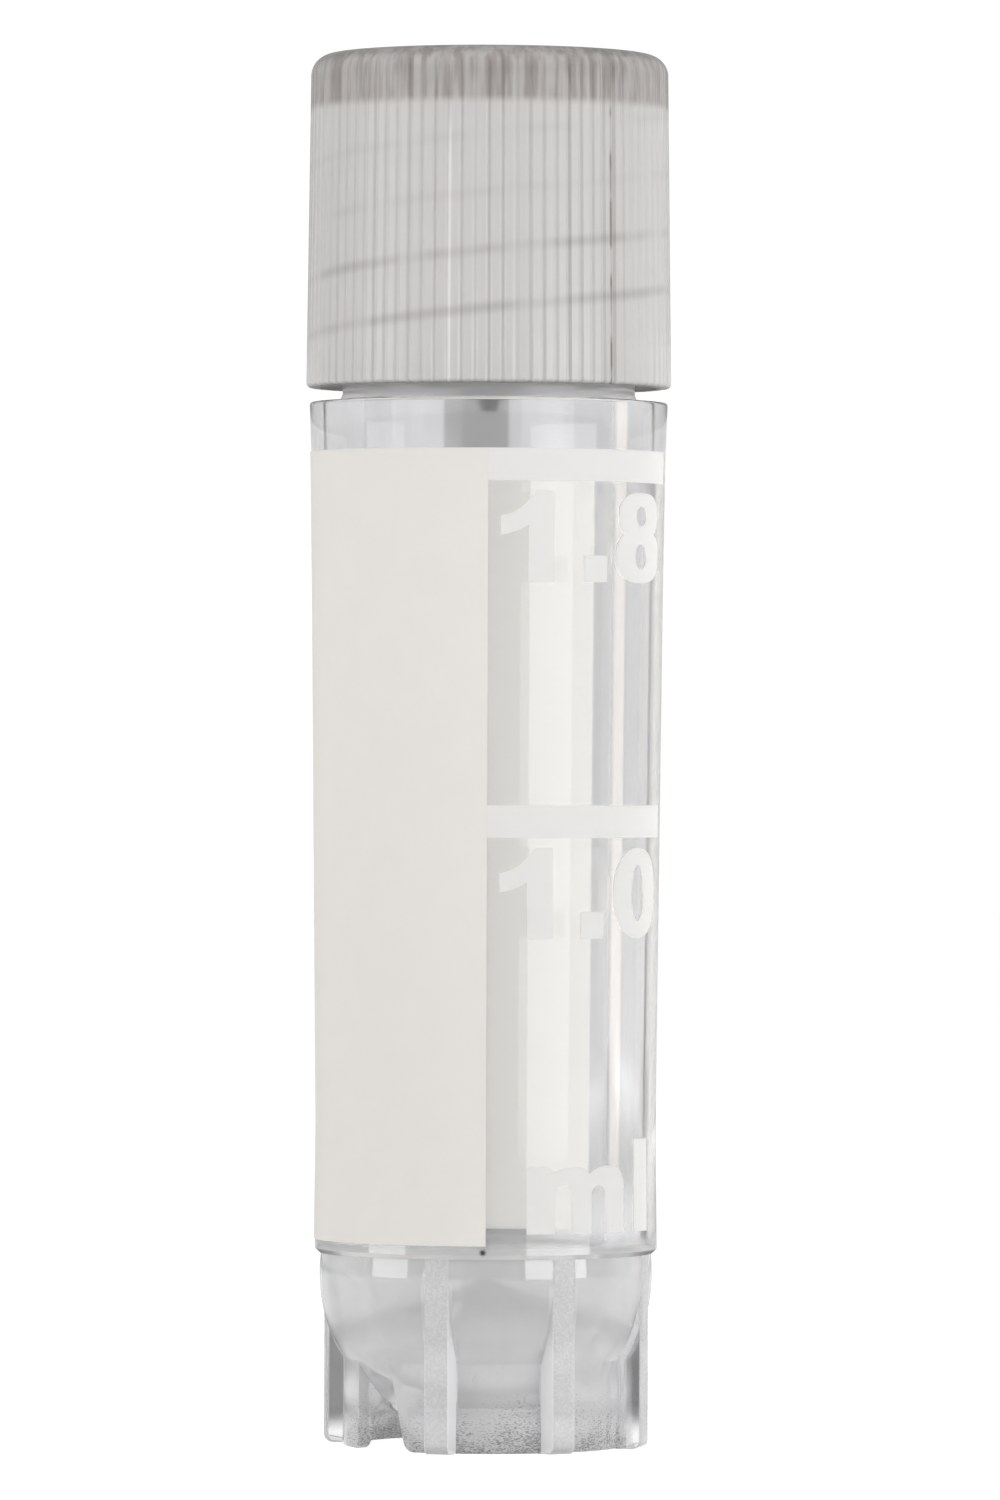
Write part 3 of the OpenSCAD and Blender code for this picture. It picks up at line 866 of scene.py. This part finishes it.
# %% Outlines of the figures, drawn flat in millimetres from their lower left corner
BAR_H, BAR_SWEEP = 1.12, 78.0
BAR_TOPS = (PATCH_HIGH, 22.35)
FIGURE_GAP, FIGURE_H = 0.35, 3.12
UNIT_Z = 7.6


def ring(width, height, left=0.0, low=0.0, power=2.3, steps=48):
    """A rounded oval, a little squarer than an ellipse."""
    points = []
    for i in range(steps):
        turn = 2 * math.pi * i / steps - math.pi / 2
        c, s = math.cos(turn), math.sin(turn)
        x = math.copysign(abs(c) ** (2 / power), c)
        y = math.copysign(abs(s) ** (2 / power), s)
        points.append((left + width / 2 * (1 + x), low + height / 2 * (1 + y)))
    return points


def one(h):
    """The figure 1, with a flag that curves down from its top."""
    return [[(0.96, 0), (1.86, 0), (1.86, h)] + bend((1.2, h), (0.75, h - 0.74), (0, h - 0.86))
            + [(0, h - 1.52)] + bend((0.08, h - 1.52), (0.6, h - 1.42), (0.96, h - 1.16), 3)]


def stop(h):
    """The point between two figures."""
    return [[(0, 0), (1, 0), (1, 0.92), (0, 0.92)]]


def zero(h):
    """The figure 0, a tall oval with a narrow hole."""
    return [ring(2.78, h), ring(0.8, h - 1.18, 0.99, 0.59)]


def eight(h):
    """The figure 8, a wide oval below a narrower one, with a hole in each."""
    low, top = (2.82, 1.84, 0.0, 0.0), (2.56, 1.62, 0.13, h - 1.62)
    power = 2.6            # both ovals are squarer than those of the 0

    def outside(point, lobe):
        width, height, left, base = lobe
        x, y = (point[0] - left) / width * 2 - 1, (point[1] - base) / height * 2 - 1
        return abs(x) ** power + abs(y) ** power >= 1

    lower = [p for p in ring(*low, power=power) if outside(p, top)]
    upper = [p for p in ring(*top, power=power) if outside(p, low)]
    outline = [p for p in lower if p[0] >= low[0] / 2] + upper + [p for p in lower if p[0] < low[0] / 2]
    return [outline, ring(0.72, 0.86, 1.05, 0.49), ring(0.64, 0.68, 1.09, h - 1.15)]


def letter_m(h):
    """A small m, whose legs are joined by two narrow arches."""
    return [[(0, 0), (0, h - 0.06), (0.06, h)] + bend((0.6, h), (0.9, h), (0.86, h - 0.25), 4)
            + bend((0.95, h - 0.2), (1.3, h - 0.02), (1.75, h - 0.02), 4)
            + bend((1.8, h - 0.02), (2.2, h - 0.02), (2.34, h - 0.26), 4)
            + bend((2.42, h - 0.24), (2.75, h), (3.2, h), 5)
            + bend((3.25, h), (3.97, h), (3.97, h - 0.72), 6) + [(3.97, 0), (3.07, 0)]
            + arc((2.76, h - 0.98), 0.31, 0, 180, 10) + [(2.45, 0), (1.64, 0)]
            + arc((1.315, h - 0.98), 0.325, 0, 180, 10) + [(0.99, 0)]]


def letter_l(h):
    """A small l, a plain upright bar."""
    return [[(0, 0), (1, 0), (1, h), (0, h)]]


# %% Drawing a figure and wrapping it round the tube
def drawn(name, outlines):
    """A thin flat plate in the shape of the outlines, of which the later ones are holes."""
    curve = bpy.data.curves.new(name, "CURVE")
    curve.dimensions, curve.fill_mode, curve.extrude = "2D", "BOTH", INK / 2
    for outline in outlines:
        spline = curve.splines.new("POLY")
        spline.points.add(len(outline) - 1)
        spline.use_cyclic_u = True
        for point, (x, y) in zip(spline.points, outline):
            point.co = (x, y, 0, 1)
    carrier = bpy.data.objects.new(name, curve)
    scene.collection.objects.link(carrier)
    bpy.context.view_layer.update()
    mesh = bpy.data.meshes.new_from_object(carrier.evaluated_get(bpy.context.evaluated_depsgraph_get()))
    bpy.data.objects.remove(carrier)
    return mesh


def wrapped(mesh, angle, base, width, height, step=0.2):
    """Bends a flat plate onto the wall, with its lower left corner at an angle and a height."""
    bm = bmesh.new()
    bm.from_mesh(mesh)
    bmesh.ops.remove_doubles(bm, verts=bm.verts, dist=1e-4)
    for i in range(1, math.ceil(width / step)):
        parts = bm.verts[:] + bm.edges[:] + bm.faces[:]
        bmesh.ops.bisect_plane(bm, geom=parts, plane_co=(i * step, 0, 0), plane_no=(1, 0, 0))
    radius = wall_r(base + height / 2)
    middle = angle + math.degrees(math.asin(width / 2 / radius))
    for vert in bm.verts:
        across = math.degrees(math.asin((vert.co.x - width / 2) / radius))
        vert.co = on_wall(middle + across, base + vert.co.y, INK_GAP + INK / 2 + vert.co.z)
    bmesh.ops.recalc_face_normals(bm, faces=bm.faces)
    bm.to_mesh(mesh)
    bm.free()
    return mesh


# Each figure has an outline, the angle of its left edge, the number of its bar, and a width.
figures = [
    (one, 4.1, 0, 1.86), (stop, 32.5, 0, 1.0), (eight, 45.8, 0, 2.82),
    (one, 4.1, 1, 1.86), (stop, 32.5, 1, 1.0), (zero, 46.3, 1, 2.78)]
places = [(shape, angle, BAR_TOPS[k] - BAR_H - FIGURE_GAP - FIGURE_H, width, FIGURE_H)
          for shape, angle, k, width in figures]
places += [(letter_m, 13.6, UNIT_Z, 3.97, 2.33), (letter_l, 58.8, UNIT_Z, 1.0, 3.2)]
marks = [skin("scale_bar", z - BAR_H, z, 0.02, BAR_SWEEP) for z in BAR_TOPS]
bm = bmesh.new()
for bar in marks:
    bm.from_mesh(bar.data)
    bpy.data.objects.remove(bar)
for shape, angle, base, width, height in places:
    bm.from_mesh(wrapped(drawn(shape.__name__, shape(height)), angle, base, width, height))
scale_print = made("volume_scale", bm)
scale_print.data.materials.append(scale_ink)
smoothed(scale_print)
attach(scale_print, "tube")
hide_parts("graduation_marks")
print("scale:", len(scale_print.data.polygons), "faces")

# %% [markdown]
# ## Light, floor and camera
# The vial stands on a white floor in front of a white curved wall. Two low soft lamps, in
# front to the left and to the right, are mirrored in the clear wall as bright upright bands.
# Two high ones light the whole and are not mirrored, or the cap's flat top would go white. A
# warm strip and two cards brighten the edges. A lamp behind the vial is neither mirrored nor
# seen through it, and makes the ink and the milky parts glow. The floor and the wall look white
# to the camera and dimmer in and through the plastic, so that the clear plastic can be seen.
# In and through the plastic, the floor also shows a painted pool of light under and beside the vial.

# %% Floor and backdrop
# Seen in and through the plastic, the floor has a painted pool of light under and beside the vial, which
# fades out over these distances.
FOOTPRINT = (0.007, 0.02)   # metres from the axis, from the vial's foot out to open floor
SIDEWAYS = (0.009, 0.02)    # metres to the left or right, from the vial out to open floor
FAR_FLOOR = (0.1, 0.18)     # metres from the axis, where the floor starts to look dimmer


def white_stage(name, reflectance, seen, through, beside=0.0, under=0.0):
    """A matt surface that glows white for the camera, and softly in and through the plastic."""
    material = bpy.data.materials.new(name)
    material.use_nodes = True
    tree = material.node_tree
    tree.nodes.clear()
    path = add(tree, "ShaderNodeLightPath").outputs
    bent = math_node(tree, "MAXIMUM", path["Is Glossy Ray"], path["Is Transmission Ray"])
    straight = math_node(tree, "MULTIPLY", path["Is Camera Ray"], seen)
    place = add(tree, "ShaderNodeTexCoord").outputs["Object"]
    away = add(tree, "ShaderNodeVectorMath", {0: place}, operation="LENGTH").outputs["Value"]
    x = add(tree, "ShaderNodeSeparateXYZ", {"Vector": place}).outputs["X"]
    # Painted light: in and through the plastic, the floor glows as a pool of light under the vial and
    # beside it.
    sideways = ramp(tree, math_node(tree, "ABSOLUTE", x), *SIDEWAYS, 0.0, 1.0)
    painted_pool_beside = math_node(tree, "MULTIPLY", ramp(tree, away, *FAR_FLOOR, beside, 0.5 * beside), sideways)
    soft_glow = math_node(tree, "MAXIMUM", ramp(tree, away, *FOOTPRINT, under, through), painted_pool_beside)
    soft_glow = math_node(tree, "MAXIMUM", soft_glow, through)
    glow = add(tree, "ShaderNodeMix", {"Factor": bent, "A": straight, "B": soft_glow}).outputs["Result"]
    matt = add(tree, "ShaderNodeBsdfDiffuse", {"Color": linear(reflectance)})
    bright = add(tree, "ShaderNodeEmission", {"Color": linear("#ffffff"), "Strength": glow})
    both = add(tree, "ShaderNodeAddShader", {0: matt.outputs[0], 1: bright.outputs[0]})
    out = add(tree, "ShaderNodeOutputMaterial")
    tree.links.new(both.outputs[0], out.inputs["Surface"])
    return material


def stage_piece(name, points, faces, material):
    """One surface of the stage."""
    mesh = bpy.data.meshes.new(name)
    mesh.from_pydata(points, [], faces)
    mesh.materials.append(material)
    piece = bpy.data.objects.new(name, mesh)
    scene.collection.objects.link(piece)


BACKDROP_R, BACKDROP_H = 1.2, 1.2    # metres from the vial to the curved wall, and its height
BACKDROP_SPAN = (120, 261)           # degrees from the front towards +X
STRIPS = 47
turns = [math.radians(BACKDROP_SPAN[0] + (BACKDROP_SPAN[1] - BACKDROP_SPAN[0]) * i / STRIPS)
         for i in range(STRIPS + 1)]
points = [(BACKDROP_R * math.sin(t), -BACKDROP_R * math.cos(t), z) for z in (0, BACKDROP_H) for t in turns]
faces = [(i, i + 1, STRIPS + 2 + i, STRIPS + 1 + i) for i in range(STRIPS)]
stage_piece("backdrop", points, faces, white_stage("backdrop", "#c8c8c8", 0.9, 0.21))
stage_piece("floor", [(-2, -1.5, 0), (2, -1.5, 0), (2, 1.5, 0), (-2, 1.5, 0)], [(0, 1, 2, 3)],
            white_stage("floor", "#808080", 0.95, 0.0, 0.75, 0.9))
print("backdrop:", len(faces), "strips,", BACKDROP_R, "m away")

# %% Lamps
WARM = (1.0, 0.85, 0.7)
CLOSE, AWAY = 0.16, 0.3    # metres from the vial to a lamp
LOW = 0.05                 # metres, the height of a lamp that stands as tall as the vial
HIGH, HIGH_BASE = 0.22, 0.06


def lamp(name, span, distance, tall, radiance, colour=(1, 1, 1), base=0.0, mirrored=True, shown=True):
    """An upright soft lamp that fills a span of angles, from the front towards +X."""
    light = bpy.data.lights.new(name, "AREA")
    width = 2 * distance * math.tan(math.radians((span[1] - span[0]) / 2))
    light.shape, light.size, light.size_y = "RECTANGLE", width, tall
    light.energy, light.color = radiance * math.pi * width * tall, colour
    turn = math.radians((span[0] + span[1]) / 2 - 90)
    piece = bpy.data.objects.new(name, light)
    place = Vector((distance * math.cos(turn), distance * math.sin(turn), base + tall / 2))
    piece.matrix_world = (Matrix.Translation(place) @ Matrix.Rotation(turn + math.pi / 2, 4, "Z")
                          @ Matrix.Rotation(math.pi / 2, 4, "X"))
    piece.visible_glossy = mirrored and shown
    piece.visible_transmission = shown
    piece.visible_camera = False
    scene.collection.objects.link(piece)


lamp("lamp_left", (-84, -55), CLOSE, LOW, 1.8)
lamp("lamp_right", (27, 73), CLOSE, LOW, 2.4)
lamp("high_left", (-86, -38), AWAY, HIGH, 3.65, base=HIGH_BASE, mirrored=False)
lamp("high_right", (30, 80), AWAY, HIGH, 3.2, base=HIGH_BASE, mirrored=False)
lamp("strip_right", (119, 133), CLOSE, LOW, 0.36, WARM)
lamp("card_left", (-175, -104), AWAY, LOW, 0.4)
lamp("card_right", (104, 178), AWAY, LOW, 0.39)
lamp("lamp_back", (128, 168), AWAY, 0.08, 10.5, shown=False)
print("lamps:", [light.name for light in bpy.data.lights])

# %% Room and render settings
world = bpy.data.worlds.new("room")
world.use_nodes = True
sky = world.node_tree.nodes["Background"].inputs
sky["Color"].default_value, sky["Strength"].default_value = linear("#ffffff"), 0.4
scene.world = world
scene.view_settings.view_transform = "Standard"
# Light crosses many walls and ridges of clear plastic, so it needs many bounces.
scene.cycles.diffuse_bounces = 12
scene.cycles.glossy_bounces = 16
scene.cycles.transmission_bounces = 24
scene.cycles.max_bounces = 32

# %% Camera
EYE = (0.000436, -0.36, 0.02425)     # metres: 36 cm in front, level with the vial's middle
ROLL = math.radians(0.2)

camera = bpy.data.cameras.new("camera")
camera.lens, camera.sensor_fit, camera.sensor_width = 247.5, "AUTO", 36
camera.clip_start = 0.01
viewer = bpy.data.objects.new("camera", camera)
level, rolled = Matrix.Rotation(math.pi / 2, 4, "X"), Matrix.Rotation(ROLL, 4, "Z")
viewer.matrix_world = Matrix.Translation(EYE) @ level @ rolled
scene.collection.objects.link(viewer)
scene.camera = viewer
print("camera:", camera.lens, "mm lens at", [round(v, 4) for v in viewer.matrix_world.translation])
